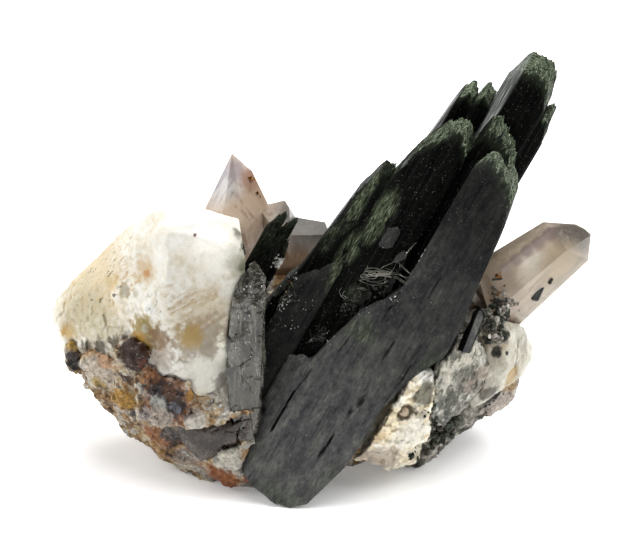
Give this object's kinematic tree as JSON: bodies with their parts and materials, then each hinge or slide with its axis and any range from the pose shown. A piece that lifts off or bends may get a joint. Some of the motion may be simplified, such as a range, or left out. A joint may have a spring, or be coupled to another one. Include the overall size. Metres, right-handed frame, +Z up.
{
  "type": "aegirine cluster",
  "caption": "Mineral specimen: a slanting bundle of black aegirine blades with a feldspar block, rust-stained matrix and smoky quartz points, cut flat underneath to stand.",
  "frame": {"origin": "on the surface the specimen stands on, under the middle of its bounding box", "axes": "+Z up; +X runs along the specimen, from the feldspar block towards the leaning quartz point; the broad black face looks along -Y"},
  "size_m": [0.0719, 0.0286, 0.0544],
  "materials": {
    "aegirine": "black to dark green, glossy on fresh faces and matt grey on the broad front face",
    "feldspar": "cream white with a dull pearly lustre and ochre stains",
    "rusty_matrix": "rough, rust brown and ochre with pale and dark patches",
    "grey_matrix": "rough, mottled pale grey and grey green",
    "smoky_quartz": "clear to hazy, pale smoky brown, with glossy faces",
    "grey_quartz": "hazy grey, fractured, with glossy faces"
  },
  "bodies": {
    "root": {"aegirine_bundle": "aegirine", "aegirine_sprig": "aegirine", "small_aegirine_prism": "aegirine", "small_aegirine_cluster": "aegirine", "aegirine_knobs": "aegirine", "feldspar_block": "feldspar", "cream_feldspar_lump": "feldspar", "mottled_feldspar_blade": "grey_matrix", "right_feldspar": "feldspar", "rusty_matrix": "rusty_matrix", "grey_matrix": "grey_matrix", "grey_quartz_column": "grey_quartz", "lower_smoky_quartz": "smoky_quartz", "rear_smoky_quartz": "smoky_quartz", "right_smoky_quartz": "smoky_quartz"}
  },
  "joints": []
}
